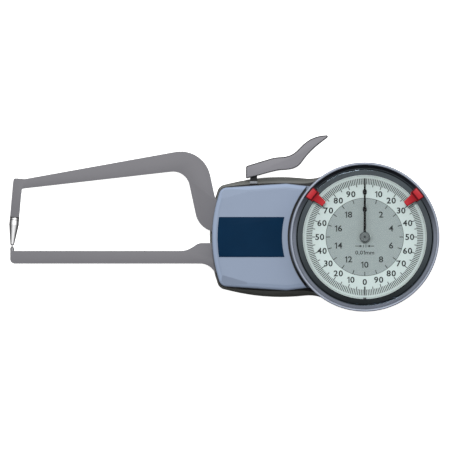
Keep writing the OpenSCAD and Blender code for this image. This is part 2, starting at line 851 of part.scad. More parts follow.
module rear_pivot_bush() {
  flange = 0.8;
  color("goldenrod") at(pivot) difference() {
    union() {
      disc(pivot_bush_r, base_z0, base_z1 + over);
      disc(pivot_bush_r + flange, base_z1, arm_z0 - run_fit);
    }
    disc(shaft_r + run_fit, base_z0 - over, arm_z0 + over);
  }
}

module front_pivot_bush() {
  nose_wall = 0.8;
  color("goldenrod") at(pivot) difference() {
    union() {
      disc(pivot_bush_r, bridge_z0, bridge_z1);
      disc(shaft_r + nose_wall, sector_z1 + run_fit, bridge_z0 + over);
    }
    disc(shaft_r + run_fit, sector_z1 - over, bridge_z1 + over);
  }
}

// Movement plate

module movement_plate() {
  plate_r = 19.5;
  color("silver") slab(plate_z0, plate_z1) difference() {
    circle(r = plate_r);
    for (p = plate_pillar_at) translate(p) circle(r = small_screw_r + seat_fit);
    for (p = [first_at, second_at]) translate(p) circle(r = bush_r + seat_fit);
    circle(r = pipe_bush_r + seat_fit);
  }
}

module movement_pillars() {
  color("lightgray") for (p = plate_pillar_at) at(p) pillar(base_z1, plate_z0, base_t);
}

module movement_screws() {
  color("gray") for (p = plate_pillar_at) at(p, plate_z1)
    screw(small_screw_r, plate_t + thread_grip, pillar_r, small_head_h);
}

module arbor_bushes() {
  color("goldenrod") {
    for (p = [first_at, second_at, [0, 0]]) at(p)
      tube(bush_r, journal_r + run_fit, base_z0, base_z1);
    for (p = [first_at, second_at]) at(p)
      tube(bush_r, journal_r + run_fit, plate_z0, plate_z1);
    tube(pipe_bush_r, pipe_r + run_fit, plate_z0, plate_z1);
  }
}

// Springs and stops

module spring_post() {
  color("silver") at(spring_post_at) disc(pin_r, base_z0, spring_z + spring_hook_h);
}

// A tube along a path of points, with a side direction given for each point
module wire(path, sides_dir, axis_dir, r, sides = 6) {
  rings = [for (i = [0:len(path) - 1]) [
    for (k = [0:sides - 1])
      let (a = 360 * k / sides)
      path[i] + r * (cos(a) * sides_dir[i] + sin(a) * axis_dir)
  ]];
  loft(rings);
}

module return_spring() {
  wire_r = 0.25;
  coil_r = 1.3;
  tail = [1.5, 0, 0];
  rings_per_turn = 8;
  steps = spring_turns * rings_per_turn;
  y0 = spring_pin_at.y + pin_r + 2 * wire_r;
  y1 = spring_post_at.y - pin_r - 2 * wire_r;
  sides_dir = [for (i = [0:steps]) let (a = 360 * i / rings_per_turn) [sin(a), 0, cos(a)]];
  path = [for (i = [0:steps])
    [spring_pin_at.x, y0 + (y1 - y0) * i / steps, spring_z] + coil_r * sides_dir[i]];
  color("silver") wire(
    concat([path[0] - tail], path, [path[steps] + tail]),
    concat([sides_dir[0]], sides_dir, [sides_dir[steps]]),
    [0, 1, 0], wire_r);
}

hairspring_lift = 0.6;
hairspring_h = 1;
hairspring_z0 = level_a + gear_t + hairspring_lift;
hairspring_z1 = hairspring_z0 + hairspring_h;
collet_r = 1.5;
collet_rim = 0.2;

module hairspring_stud() {
  color("silver") at(stud_at) disc(pin_r, base_z0, hairspring_z1 + hairspring_lift);
}

module hairspring() {
  turns = 4;
  steps = 24 * turns;
  band = 0.15;
  inner = collet_r + seat_fit;
  outer = norm(stud_at - first_at) - pin_r - band - seat_fit;
  end = heading(first_at, stud_at);
  start = end - 360 * turns;
  spiral = [for (i = [0:steps])
    [inner + (outer - inner) * i / steps, start + 360 * turns * i / steps]];
  color("steelblue") at(first_at) slab(hairspring_z0, hairspring_z1) polygon(concat(
    [for (s = spiral) polar(s[0], s[1])],
    [for (i = [steps:-1:0]) polar(spiral[i][0] + band, spiral[i][1])]
  ));
}

// The pin that the limb of the moving arm meets when it is fully open
limb_side = stem_offset + limb_w / 2;
stop_h = 10;
limb_at_stop = (stop_h + limb_side * sin(open_angle)) / cos(open_angle);
open_stop_at = pivot + [
  limb_side * cos(open_angle) + limb_at_stop * sin(open_angle) + stop_r + swing_gap,
  stop_h
];

module open_stop_pin() {
  color("silver") at(open_stop_at) disc(stop_r, base_z0, arm_z1);
}

// Bezel seat

module bezel_o_ring() {
  color("black") translate([0, 0, o_ring_z + o_ring_groove_h / 2]) rotate_extrude()
    translate([case_r - o_ring_r + bezel_play / 2, 0]) circle(r = o_ring_r, $fn = 24);
}

module bezel_snap_ring() {
  gap = 24;
  snap_ring_w = 1;
  color("gray") translate([0, 0, snap_z + snap_play]) rotate([0, 0, 90 + gap / 2])
    rotate_extrude(angle = 360 - gap) translate([case_r - snap_ring_w / 2, 0])
      square([snap_ring_w, snap_groove_h - 2 * snap_play]);
}

// Moving arm

tip_dir = [sin(tip_tilt), cos(tip_tilt)];
tip_side = [cos(tip_tilt), -sin(tip_tilt)];
tip_base = contact + tip_l * tip_dir;
leg_top = tip_base + leg_l * tip_dir - leg_w / 2 * tip_side;
brow_l = 0.8;
leg_kink = leg_top + (leg_w + brow_l) * tip_side;
leg_crook = tip_base + leg_inside_l * tip_dir + leg_w / 2 * tip_side;
shoulder_out = [2.02 - body_left, 17.9];
shoulder_in = [-6.2 - body_left, 10.3];
shoulder_angle = -78;
root_up = pivot + hub_r * [sin(root_angle), cos(root_angle)];
root_down = pivot - hub_r * [sin(root_angle), cos(root_angle)];
leg_corner_r = 1;
crook_r = 0.8;
root_top_r = 4;
root_low_r = 9.7;
moving_outline = concat(
  [tip_base - leg_w / 2 * tip_side],
  bend(tip_base - leg_w / 2 * tip_side, 90 - tip_tilt, leg_top, -tip_tilt, leg_corner_r, 4),
  [leg_kink],
  bend(leg_kink, beam_top_angle, shoulder_out, shoulder_angle, bend_outer_r, 12),
  bend(shoulder_out, shoulder_angle, root_up, -root_angle, root_top_r, 5),
  [root_up, root_down],
  bend(root_down, 180 - root_angle, shoulder_in, 180 + shoulder_angle, root_low_r, 8),
  bend(shoulder_in, 180 + shoulder_angle, leg_crook, 180 + beam_low_angle, bend_inner_r, 10),
  bend(leg_crook, 180 + beam_low_angle, leg_crook, 270 - tip_tilt, crook_r, 4),
  [tip_base + leg_w / 2 * tip_side]
);
lever_screw_at = [for (d = [0.25, 0.78]) [stem_x, lap_y + d * (limb_top - lap_y)]];
sector_screw_at = [for (a = [90, 270]) pivot + polar(hub_r - 1.9, sector_mid + a)];

module moving_arm() {
  color("darkgray") difference() {
    union() {
      slab(arm_z0, arm_z1) {
        polygon(moving_outline);
        box(stem_x - limb_w / 2, stem_x + limb_w / 2, pivot_y, limb_top);
      }
      at(pivot) disc(hub_r, arm_z0, sector_z0);
    }
    at(pivot) disc(shaft_r + seat_fit, arm_z0 - over, sector_z0 + over);
    slab(arm_mid_z, arm_z1 + over) box(stem_x - limb_w, stem_x + limb_w, lap_y, limb_top + over);
    for (p = lever_screw_at) at(p) disc(small_screw_r + seat_fit, arm_z1 - thread_l - over, arm_z1);
    for (p = sector_screw_at) at(p) disc(small_screw_r + seat_fit, sector_z0 - thread_l, sector_z0 + over);
  }
}

// The contact tip, turned about the leg's axis
module contact_tip() {
  point_r = 0.9;
  waist = 0.74 * tip_l;
  profile = concat(
    [[0, tip_l], [leg_w / 2, tip_l], [tip_r, waist]],
    arc([0, point_r], point_r, 0, -90, 8)
  );
  color("gainsboro") translate([contact.x, contact.y, arm_mid_z]) rotate([0, 0, -tip_tilt])
    rotate([-90, 0, 0]) rotate_extrude() polygon(profile);
}

module pivot_shaft() {
  color("silver") at(pivot) disc(shaft_r, base_z0 + 0.2, bridge_z1 + 0.3);
}

// A sector plate that is a fan from the hub to the toothed rim, with two windows
module sector_gear() {
  margin = 3.5;
  band = 4;
  pitch_r = sector_m * sector_teeth / 2;
  a0 = sector_dir + sector_pitch * sector_first + margin;
  a1 = sector_dir + sector_pitch * sector_last - margin;
  rim = [for (i = [sector_first:sector_last])
    each tooth(sector_teeth, sector_m, sector_dir + i * sector_pitch)];
  color("gold") at(pivot) difference() {
    slab(sector_z0, sector_z1) difference() {
      polygon(concat(arc([0, 0], hub_r, sector_mid + 90, sector_mid + 270, 24), rim));
      for (span = [[hub_r + band, spring_arm - band], [spring_arm + band, pitch_r - band]])
        polygon(concat(arc([0, 0], span[0], a1, a0, 6), arc([0, 0], span[1], a0, a1, 6)));
    }
    disc(shaft_r + seat_fit, sector_z0 - over, sector_z1 + over);
    for (p = sector_screw_at) at(p - pivot)
      disc(small_screw_r + seat_fit, sector_z0 - over, sector_z1 + over);
    at(spring_pin_at - pivot) disc(pin_r + seat_fit, sector_z0 - over, sector_z1 + over);
  }
}

module sector_screws() {
  color("gray") for (p = sector_screw_at) at(p, sector_z1)
    screw(small_screw_r, sector_t + thread_grip, small_head_r, small_head_h);
}

module spring_pin() {
  color("silver") at(spring_pin_at) disc(pin_r, sector_z0, spring_z + spring_hook_h);
}

// The stem is half lapped onto the limb and let into the lever
stem_inset = 0.5;
stem_seat_h = 1.5;
stem_shoulder = 0.8;

module lever_stem() {
  color("black") difference() {
    union() {
      slab(arm_mid_z, arm_z1)
        box(stem_x - limb_w / 2, stem_x + limb_w / 2, lap_y + seat_fit, limb_top + stem_shoulder);
      slab(arm_z0 + stem_inset, arm_z1 - stem_inset)
        box(stem_x - stem_w / 2, stem_x + stem_w / 2, limb_top + seat_fit, lever_y + stem_seat_h);
    }
    for (p = lever_screw_at) at(p) disc(small_screw_r + seat_fit, arm_mid_z - over, arm_z1 + over);
  }
}

// The lever's outline from its root along the top to the tip and back underneath
lever_tip = [31.4, 17.4];
lever_tip_r = 0.6;
lever_heel = [-2.9, -0.2];
lever_heel_r = 0.4;
lever_back = [lever_heel.x - lever_heel_r, 4.7];
lever_back_angle = 17.8;
lever_back_r = 1;
lever_crown = [7, 7.85];
lever_crown_pull = [11.95, 9.54];
lever_dip_pull = [15.03, 6.94];
lever_rise = [20.17, 12.87];
lever_rise_pull = [23.2, 16.15];
lever_brow_pull = [26.6, 17.8];
lever_tip_under = lever_tip - [0, 0.8];
lever_nose_pull = [27.6, 14];
lever_bow_pull = [23.8, 10.65];
lever_bow = [21.2, 7];
lever_knee_pull = [19.3, 4.05];
lever_flat_pull = [17.4, 3.05];
lever_flat = [11.8, 2.95];
lever_slope_pull = [8, 2.55];
lever_root_pull = [3.8, 0.9];
lever_outline = concat(
  bend(lever_back, 90, lever_back, lever_back_angle, lever_back_r, 4),
  curve(lever_crown, lever_crown_pull, lever_dip_pull, lever_rise, 9),
  curve(lever_rise, lever_rise_pull, lever_brow_pull, lever_tip + [-0.1, lever_tip_r]),
  arc(lever_tip, lever_tip_r, 90, -60, 6),
  curve(lever_tip_under, lever_nose_pull, lever_bow_pull, lever_bow),
  curve(lever_bow, lever_knee_pull, lever_flat_pull, lever_flat),
  curve(lever_flat, lever_slope_pull, lever_root_pull, lever_heel + [0.2, -lever_heel_r]),
  arc(lever_heel, lever_heel_r, -80, -180, 5)
);

module lever() {
  seat_half = stem_w / 2 + seat_fit;
  color("lightgray") difference() {
    translate([stem_x, lever_y, arm_mid_z - lever_w / 2]) linear_extrude(lever_w) polygon(lever_outline);
    slab(arm_z0 + stem_inset - seat_fit, arm_z1 - stem_inset + seat_fit)
      box(stem_x - seat_half, stem_x + seat_half, limb_top, lever_y + stem_seat_h + seat_fit);
  }
}

module lever_screws() {
  color("gray") for (p = lever_screw_at) at(p, arm_z1)
    screw(small_screw_r, thread_l, small_head_r, small_head_h);
}

// Gear train

// An arbor with a thin journal at each end and a pinion cut on it
module arbor(r, z0, z1, m, phase, pinion_z0, pinion_z1) {
  journal = base_t - 0.4;
  disc(r, z0, z1);
  disc(journal_r, z0 - swing_gap - journal, z0 + over);
  slab(pinion_z0, pinion_z1) polygon(gear(pinion_teeth, m, phase));
}

module wheel(teeth, m, phase, bore, z0) {
  difference() {
    slab(z0, z0 + gear_t) polygon(gear(teeth, m, phase));
    disc(bore + seat_fit, z0 - over, z0 + gear_t + over);
  }
}

module first_arbor() {
  phase = mesh_phase(sector_teeth, sector_dir, sector_dir, pinion_teeth);
  color("silver") at(first_at) {
    arbor(arbor_r, base_z1 + swing_gap, plate_z0 - swing_gap, sector_m, phase,
      sector_z0 - swing_gap, sector_z1 + swing_gap);
    disc(journal_r, plate_z0 - swing_gap - over, plate_z1 - 0.2);
  }
}

module first_wheel() {
  color("gold") at(first_at) wheel(first_teeth, train_m, first_dir, arbor_r, level_b);
}

module hairspring_collet() {
  color("gold") at(first_at)
    tube(collet_r, arbor_r + seat_fit, hairspring_z0 - collet_rim, hairspring_z1 + collet_rim);
}

module hand_pipe() {
  phase = mesh_phase(first_teeth, first_dir, first_dir, pipe_pinion_teeth);
  color("gold") difference() {
    union() {
      disc(pipe_r, level_b - 0.4, pipe_top);
      slab(level_b - 0.2, level_b + gear_t + 0.2) polygon(gear(pipe_pinion_teeth, train_m, phase));
    }
    disc(thin_arbor_r + run_fit, level_b - 1, pipe_top + over);
  }
}

module pipe_wheel() {
  color("gold") wheel(pipe_wheel_teeth, train_m, second_angle, pipe_r, level_c);
}

// A tapered hand that points up, on a round boss
module hand(length, root_w, point_w, boss, bore, z0, z1) {
  color("black") difference() {
    slab(z0, z1) {
      polygon([[-root_w / 2, 0], [root_w / 2, 0], [point_w / 2, length], [-point_w / 2, length]]);
      circle(r = boss);
    }
    disc(bore + seat_fit, z0 - over, z1 + over);
  }
}

module short_hand() {
  root_w = 1.1;
  point_w = 0.5;
  boss = pipe_r + 0.6;
  hand(short_hand_l, root_w, point_w, boss, pipe_r, short_hand_z, short_hand_z + hand_t);
}

module second_arbor() {
  phase = mesh_phase(pipe_wheel_teeth, second_angle, second_angle, pinion_teeth);
  color("silver") at(second_at) {
    arbor(thin_arbor_r, base_z1 + swing_gap, plate_z0 - swing_gap, train_m, phase,
      level_c - 0.2, level_c + gear_t + 0.2);
    disc(journal_r, plate_z0 - swing_gap - over, plate_z1 - 0.2);
  }
}

module second_wheel() {
  color("gold") at(second_at)
    wheel(second_teeth, centre_m, second_angle + 180, thin_arbor_r, level_a);
}

module centre_arbor() {
  phase = mesh_phase(second_teeth, second_angle + 180, second_angle + 180, pinion_teeth);
  color("silver") arbor(thin_arbor_r, base_z1 + swing_gap, long_hand_z + hand_t + 0.5, centre_m, phase,
    level_a - 0.2, level_a + gear_t + 0.2);
}

module long_hand() {
  root_w = 0.95;
  point_w = 0.55;
  boss = thin_arbor_r + 0.7;
  hand(hand_l, root_w, point_w, boss, thin_arbor_r, long_hand_z, long_hand_z + hand_t);
}

module hand_cap() {
  z0 = long_hand_z + hand_t;
  rim = 0.3;
  color("gray") rotate_extrude() polygon([
    [thin_arbor_r + seat_fit, z0], [cap_r, z0], [cap_r, cap_z1 - rim], [cap_r - rim, cap_z1],
    [0, cap_z1], [0, z0 + 0.5 + seat_fit], [thin_arbor_r + seat_fit, z0 + 0.5 + seat_fit]
  ]);
}

// Bezel and dial

// The groove in the bezel's lip, under its cone, in which the markers' tongues run
marker_groove_roof = 0.2;
marker_groove_h = 0.5;
marker_groove_z = cone_z0 - marker_groove_roof - marker_groove_h;
marker_groove_r = bezel_r - 1;

module bezel() {
  chamfer = 0.5;
  bead_r = bead_w / 2;
  profile = concat(
    [[bezel_bore_r, bezel_z0], [bezel_r - chamfer, bezel_z0], [bezel_r, bezel_z0 + chamfer]],
    arc([bezel_r - bead_r, bezel_top - bead_r], bead_r, 0, 180, 10),
    [[lip_r, cone_z0], [lip_r, flange_z1], [bezel_bore_r, flange_z1]]
  );
  color("lightsteelblue") difference() {
    rotate_extrude() polygon(profile);
    ring(bezel_bore_r + snap_groove_d, bezel_bore_r - over, snap_z, snap_z + snap_groove_h);
    ring(marker_groove_r, lip_r - over, marker_groove_z, marker_groove_z + marker_groove_h);
  }
}

// The ring between dial and crystal, with a tab at the dial's lowest mark
module dial_ring() {
  foot = 0.4;
  tab_half = 0.7;
  tab_l = 0.75;
  color("black") difference() {
    union() {
      rotate_extrude() polygon([
        [dial_r, dial_z1], [seated_r, dial_z1], [seated_r, ring_z1], [lip_r - 0.2, ring_z1],
        [dial_r, dial_z1 + foot]
      ]);
      slab(dial_z1, dial_z1 + foot) box(-tab_half, tab_half, -dial_r - tab_half, tab_l - dial_r);
    }
    for (p = dial_screw_at) at(p) disc(dial_screw_r + seat_fit, dial_z1 - over, dial_z1 + dial_screw_l + 0.1);
  }
}

module crystal_gasket() {
  color("black") ring(seated_r, lip_r - 0.2, ring_z1, crystal_z0);
}

// A flat crystal whose edge slopes down to a flange under the bezel's lip
module crystal() {
  color("aliceblue", 0.4) rotate_extrude() polygon([
    [0, crystal_z0], [seated_r, crystal_z0], [seated_r, flange_z1], [lip_r - 0.2, flange_z1],
    [dial_r, crystal_z1], [0, crystal_z1]
  ]);
}

module dial_face() {
  color("honeydew") difference() {
    disc(seated_r, dial_z0, dial_z1);
    disc(pipe_r + 0.5, dial_z0 - over, dial_z1 + over);
    for (p = dial_screw_at) at(p) disc(dial_screw_r + seat_fit, dial_z0 - over, dial_z1 + over);
  }
}

// Grub screws that fix the dial to its ring from behind
module dial_screws() {
  color("gray") for (p = dial_screw_at) at(p) disc(dial_screw_r, dial_z0, dial_z1 + dial_screw_l);
}

// A marker on the dial's top, turned to its place: a block in the bezel's cone, its tongue and its finger
module tolerance_marker(angle) {
  clear = 0.1;
  z0 = crystal_z1 + 0.15;
  z1 = bezel_top + 0.5;
  block_in = dial_r + 0.4;
  cone_in = lip_r - clear;
  cone_out = bezel_r - bead_w - 0.2;
  span = 2 * asin(marker_w / (block_in + cone_out));
  finger_out = block_in + 0.6;
  finger_z1 = z0 + 1;
  front_slope = 1.1;
  rim = 0.3;
  point_half = 1.3;
  root_half = 1.75;
  foot_in = cone_in - 0.7;
  tongue_in = cone_in - 0.5;
  tongue_z = marker_groove_z + clear;
  color("crimson") rotate([0, 0, angle]) {
    rotate([0, 0, 90 - span / 2]) rotate_extrude(angle = span) polygon([
      [block_in, z0], [foot_in, z0], [foot_in, tongue_z], [cone_in, tongue_z], [cone_in, cone_z0 + clear],
      [cone_out, cone_z0 + clear + cone_slope * (cone_out - cone_in)],
      [cone_out, z1 - rim], [cone_out - rim, z1], [block_in + front_slope, z1], [block_in, finger_z1 + clear]
    ]);
    rotate([0, 0, 90 - span / 2]) rotate_extrude(angle = span)
      translate([tongue_in, tongue_z])
        square([marker_groove_r - clear - tongue_in, marker_groove_h - 2 * clear]);
    slab(z0, finger_z1) polygon([
      [-point_half, finger_r], [point_half, finger_r], [root_half, finger_out], [-root_half, finger_out]
    ]);
  }
}

module left_tolerance_marker() {
  tolerance_marker(marker_angle);
}

module right_tolerance_marker() {
  tolerance_marker(-marker_angle);
}

rear_housing();
front_cover();
label_plate();
housing_gasket();
cover_screws();
base_plate();
base_plate_screws();
fixed_arm();
anvil();
fixed_arm_screws();
fixed_arm_dowels();
fixed_arm_seal();
lever_seal();
pivot_bridge();
bridge_pillars();
bridge_screws();
rear_pivot_bush();
front_pivot_bush();
movement_plate();
movement_pillars();
movement_screws();
arbor_bushes();
spring_post();
return_spring();
hairspring_stud();
hairspring();
open_stop_pin();
bezel_o_ring();
bezel_snap_ring();
moving_arm();
contact_tip();
pivot_shaft();
sector_gear();
sector_screws();
spring_pin();
lever_stem();
lever();
lever_screws();
first_arbor();
first_wheel();
hairspring_collet();
hand_pipe();
pipe_wheel();
short_hand();
second_arbor();
second_wheel();
centre_arbor();
long_hand();
hand_cap();
bezel();
dial_ring();
crystal_gasket();
crystal();
dial_face();
dial_screws();
left_tolerance_marker();
right_tolerance_marker();
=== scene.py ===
"""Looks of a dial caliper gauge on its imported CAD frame: materials, rounded shells, dial print and a plain studio.

Named lengths are in mm, and radii are about the dial axis. The studio's own places and sizes are in metres."""
import json
import math

import bmesh
import bpy
from mathutils import Matrix, Vector


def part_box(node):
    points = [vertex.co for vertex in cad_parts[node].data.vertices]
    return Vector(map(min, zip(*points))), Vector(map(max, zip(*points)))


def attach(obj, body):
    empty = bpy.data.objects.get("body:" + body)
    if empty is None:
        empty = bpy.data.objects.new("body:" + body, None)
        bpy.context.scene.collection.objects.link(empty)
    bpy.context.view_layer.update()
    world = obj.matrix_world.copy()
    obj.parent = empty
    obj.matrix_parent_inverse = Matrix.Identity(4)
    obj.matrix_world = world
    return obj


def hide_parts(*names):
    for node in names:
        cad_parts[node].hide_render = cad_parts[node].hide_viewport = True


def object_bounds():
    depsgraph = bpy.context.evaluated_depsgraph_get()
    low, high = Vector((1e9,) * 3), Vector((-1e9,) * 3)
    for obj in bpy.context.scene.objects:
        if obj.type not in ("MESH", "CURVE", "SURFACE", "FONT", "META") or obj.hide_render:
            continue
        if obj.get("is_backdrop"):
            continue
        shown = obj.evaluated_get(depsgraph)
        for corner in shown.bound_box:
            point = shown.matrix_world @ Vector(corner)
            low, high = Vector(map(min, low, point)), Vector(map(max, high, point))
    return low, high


MM = 0.001
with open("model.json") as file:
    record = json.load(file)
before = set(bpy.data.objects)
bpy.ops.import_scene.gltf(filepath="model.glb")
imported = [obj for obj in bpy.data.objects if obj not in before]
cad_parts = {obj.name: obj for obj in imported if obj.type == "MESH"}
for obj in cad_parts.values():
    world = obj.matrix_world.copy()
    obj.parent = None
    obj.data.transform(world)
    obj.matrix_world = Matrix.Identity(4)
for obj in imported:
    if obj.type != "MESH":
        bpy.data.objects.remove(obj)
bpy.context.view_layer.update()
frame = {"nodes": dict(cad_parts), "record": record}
NODES = frame["nodes"]
scene = bpy.context.scene


# Materials

RAMP_STOPS = (0.3, 0.7)
GRAIN_DEPTH = 0.15
PATCH_DETAIL, GRAIN_DETAIL, GRAIN_ROUGHNESS = 3.0, 4.0, 0.6


def set_levels(ramp, stops):
    """Gives a colour ramp its (place, grey level) stops."""
    elements = ramp.color_ramp.elements
    while len(elements) < len(stops):
        elements.new(0.5)
    for element, (place, level) in zip(elements, stops):
        element.position = place
        element.color = (level, level, level, 1)


def look(name, color, rough, metal=0.0, tint=0.04, patch_mm=9.0, grain_mm=0.35, bump=0.12, rough_span=0.06,
         stretch=(1, 1, 1), flank=None, **sockets):
    """A Principled material with patchy colour, and with grain that moves its roughness and relief.

    A flank lists (upward share of the normal, level) stops: painted light and shade, multiplied into the colour by
    how upright a face is."""
    mat = bpy.data.materials.new(name)
    mat.use_nodes = True
    tree = mat.node_tree
    shader = tree.nodes["Principled BSDF"]
    shader.inputs["Metallic"].default_value = metal
    for socket, value in sockets.items():
        shader.inputs[socket.replace("_", " ")].default_value = value

    def add(kind, **inputs):
        node = tree.nodes.new(kind)
        for key, value in inputs.items():
            node.inputs[key.replace("_", " ")].default_value = value
        return node

    place = add("ShaderNodeTexCoord")
    run = add("ShaderNodeMapping", Scale=stretch)
    patches = add("ShaderNodeTexNoise", Scale=1 / (patch_mm * MM), Detail=PATCH_DETAIL)
    grain = add("ShaderNodeTexNoise", Scale=1 / (grain_mm * MM), Detail=GRAIN_DETAIL, Roughness=GRAIN_ROUGHNESS)
    ramp = add("ShaderNodeValToRGB")
    span = add("ShaderNodeMapRange", To_Min=max(0.0, rough - rough_span), To_Max=rough + rough_span)
    relief = add("ShaderNodeBump", Strength=bump, Distance=GRAIN_DEPTH * grain_mm * MM)
    for element, at, side in zip(ramp.color_ramp.elements, RAMP_STOPS, (1 - tint, 1 + tint)):
        element.position = at
        element.color = [min(1.0, c * side) for c in color] + [1]
    for source, target in (
        (place.outputs["Object"], run.inputs["Vector"]),
        (run.outputs["Vector"], patches.inputs["Vector"]),
        (run.outputs["Vector"], grain.inputs["Vector"]),
        (patches.outputs["Fac"], ramp.inputs["Fac"]),
        (grain.outputs["Fac"], span.inputs["Value"]),
        (grain.outputs["Fac"], relief.inputs["Height"]),
        (ramp.outputs["Color"], shader.inputs["Base Color"]),
        (span.outputs["Result"], shader.inputs["Roughness"]),
        (relief.outputs["Normal"], shader.inputs["Normal"]),
    ):
        tree.links.new(source, target)
    # Painted light and shade by how upright the face is
    if flank is not None:
        split = add("ShaderNodeSeparateXYZ")
        shade = add("ShaderNodeValToRGB")
        both = add("ShaderNodeMixRGB", Fac=1.0)
        both.blend_type = "MULTIPLY"
        set_levels(shade, flank)
        for source, target in (
            (place.outputs["Normal"], split.inputs["Vector"]),
            (split.outputs["Z"], shade.inputs["Fac"]),
            (ramp.outputs["Color"], both.inputs["Color1"]),
            (shade.outputs["Color"], both.inputs["Color2"]),
            (both.outputs["Color"], shader.inputs["Base Color"]),
        ):
            tree.links.new(source, target)
    return mat


# Painted light and shade by slope on the cover: a dark band low on its rounded edges, lighter walls and middles of
# the rounded edges, and the flat front a little darker again.
COVER_PAINTED_SLOPE_SHADE = ((0.04, 0.9), (0.14, 0.3), (0.24, 0.3), (0.48, 1.0), (0.86, 0.88), (0.96, 0.7), (0.985, 0.657))
COVER_SETTINGS = {"rough": 0.45, "tint": 0.025, "patch_mm": 20, "bump": 0.08, "flank": COVER_PAINTED_SLOPE_SHADE,
                  "Specular_IOR_Level": 0.15}
# Painted highlight and shade on the contact tip: with its near-white colour, these stops make it light along its top
# and its upright sides and dark on the slopes between.
TIP_PAINTED_SHINE = ((0.1, 0.9), (0.4, 0.14), (0.8, 0.12), (0.985, 1.0))
LOOKS = {
    "rear_paint": look("rear_paint", (0.133, 0.136, 0.128), 0.45, grain_mm=0.5, bump=0.2,
                       Specular_IOR_Level=0.25),
    "cover_paint": look("cover_paint", (0.308, 0.379, 0.511), **COVER_SETTINGS),
    "label_navy": look("label_navy", (0.002, 0.0175, 0.046), 0.5, tint=0.06, grain_mm=0.2, bump=0.05,
                       Specular_IOR_Level=0.02),
    "rubber_black": look("rubber_black", (0.012, 0.012, 0.013), 0.75, grain_mm=0.25, bump=0.3),
    "screw_steel": look("screw_steel", (0.45, 0.45, 0.46), 0.3, 1.0, stretch=(1, 1, 0.2), bump=0.1),
    "plate_steel": look("plate_steel", (0.5, 0.5, 0.5), 0.32, 1.0, stretch=(0.1, 1, 1), bump=0.15),
    "arm_grey": look("arm_grey", (0.141, 0.139, 0.151), 0.55, tint=0.012, patch_mm=14, grain_mm=0.22, bump=0.12,
                     Specular_IOR_Level=0.25),
    "anvil_steel": look("anvil_steel", (0.17, 0.17, 0.175), 0.35, 0.5, stretch=(1, 6, 1)),
    "tip_chrome": look("tip_chrome", (0.95, 0.95, 0.96), 0.2, 0.4, tint=0.02, stretch=(0.3, 4, 0.3), bump=0.05,
                       flank=TIP_PAINTED_SHINE),
    "lever_grey": look("lever_grey", (0.18, 0.177, 0.193), 0.55, tint=0.012, grain_mm=0.25, bump=0.15,
                       Specular_IOR_Level=0.25),
    "stem_black": look("stem_black", (0.006, 0.006, 0.007), 0.5, bump=0.15, Specular_IOR_Level=0.1),
    "train_brass": look("train_brass", (0.62, 0.43, 0.17), 0.28, 1.0, stretch=(0.2, 1, 1), bump=0.1),
    "hairspring_blue": look("hairspring_blue", (0.06, 0.09, 0.2), 0.25, 1.0),
    "bezel_metal": look("bezel_metal", (0.215, 0.24, 0.295), 0.4, 0.3, tint=0.03, grain_mm=0.25, bump=0.06,
                        Specular_IOR_Level=0.35),
    "ring_black": look("ring_black", (0.008, 0.01, 0.011), 0.35, bump=0.1),
    "crystal_clear": look("crystal_clear", (0.95, 0.98, 0.98), 0.03, rough_span=0.01, tint=0.01, bump=0.0,
                          Alpha=0.15, Transmission_Weight=1.0, IOR=1.02, Coat_Weight=1.0),
    "dial_white": look("dial_white", (0.522, 0.599, 0.588), 0.6, tint=0.02, grain_mm=0.4, bump=0.06),
    "hand_black": look("hand_black", (0.001, 0.0012, 0.0012), 0.5, rough_span=0.03, bump=0.01,
                       Specular_IOR_Level=0.05),
    "cap_grey": look("cap_grey", (0.068, 0.08, 0.082), 0.4, 0.2, bump=0.02, Specular_IOR_Level=0.25),
    "marker_red": look("marker_red", (0.4, 0.02, 0.028), 0.45, tint=0.05, bump=0.06, Specular_IOR_Level=0.2),
}
# A darker copy of the cover paint, for painted shade on the cover's lower corner facet
COVER_PAINTED_SHADE = look("cover_painted_shade", (0.268, 0.325, 0.436), **COVER_SETTINGS)
INK = look("dial_ink", (0.02, 0.023, 0.024), 0.6, tint=0.15, patch_mm=2, bump=0.05, Specular_IOR_Level=0.2)
SUBDIAL = look("subdial_grey", (0.26, 0.304, 0.304), 0.6, tint=0.03, patch_mm=3, grain_mm=0.3, bump=0.06)
EDGE_GLASS = look("crystal_edge_dark", (0.075, 0.09, 0.1), 0.12, 1.0, rough_span=0.03, tint=0.1, bump=0.03)
BEZEL_CONE = look("bezel_cone", (0.175, 0.195, 0.24), 0.1, 1.0, rough_span=0.03, tint=0.05, bump=0.03)
# Dark red for painted shade on the markers' slopes and rounded top edges
MARKER_PAINTED_SHADE = look("marker_painted_shade", (0.1, 0.003, 0.006), 0.45, tint=0.05, bump=0.06, Specular_IOR_Level=0.2)
# Near-black for painted shade on the lever's rounded edges
LEVER_EDGE_SHADE = look("lever_edge_shade", (0.035, 0.034, 0.037), 0.5, tint=0.05, bump=0.1, Specular_IOR_Level=0.2)
# Light grey for a painted highlight at the foot of the lever's stem
STEM_FOOT_HIGHLIGHT = look("stem_foot_highlight", (0.2, 0.213, 0.231), 0.5, tint=0.03, bump=0.08, Specular_IOR_Level=0.25)

for part in frame["record"]["subparts"]:
    shown = NODES[part["node"]]
    shown.data.materials.clear()
    shown.data.materials.append(LOOKS[part["material_slot"]])
SLOT_OF = {part["node"]: part["material_slot"] for part in frame["record"]["subparts"]}
BODY_OF = {n: b for b, members in frame["record"]["behaviour"]["bodies"].items() for n in members}

# The cover's lower corner facet, known by its normal, gets painted shade: a darker copy of the cover paint
FACET_UP, FACET_OUT, FACET_DOWN = (0.98, 0.995), -0.03, -0.1

cover = NODES["front_cover"].data
cover.materials.append(COVER_PAINTED_SHADE)
for face in cover.polygons:
    tilt = face.normal
    lower = FACET_UP[0] < tilt.z < FACET_UP[1] and tilt.x < FACET_OUT and tilt.y < FACET_DOWN
    face.material_index = 1 if lower else 0


# Mesh helpers

FLAT = 0.9999
WELD = 1e-6
COPLANAR = 0.5
ROUND_PROFILE = 0.5


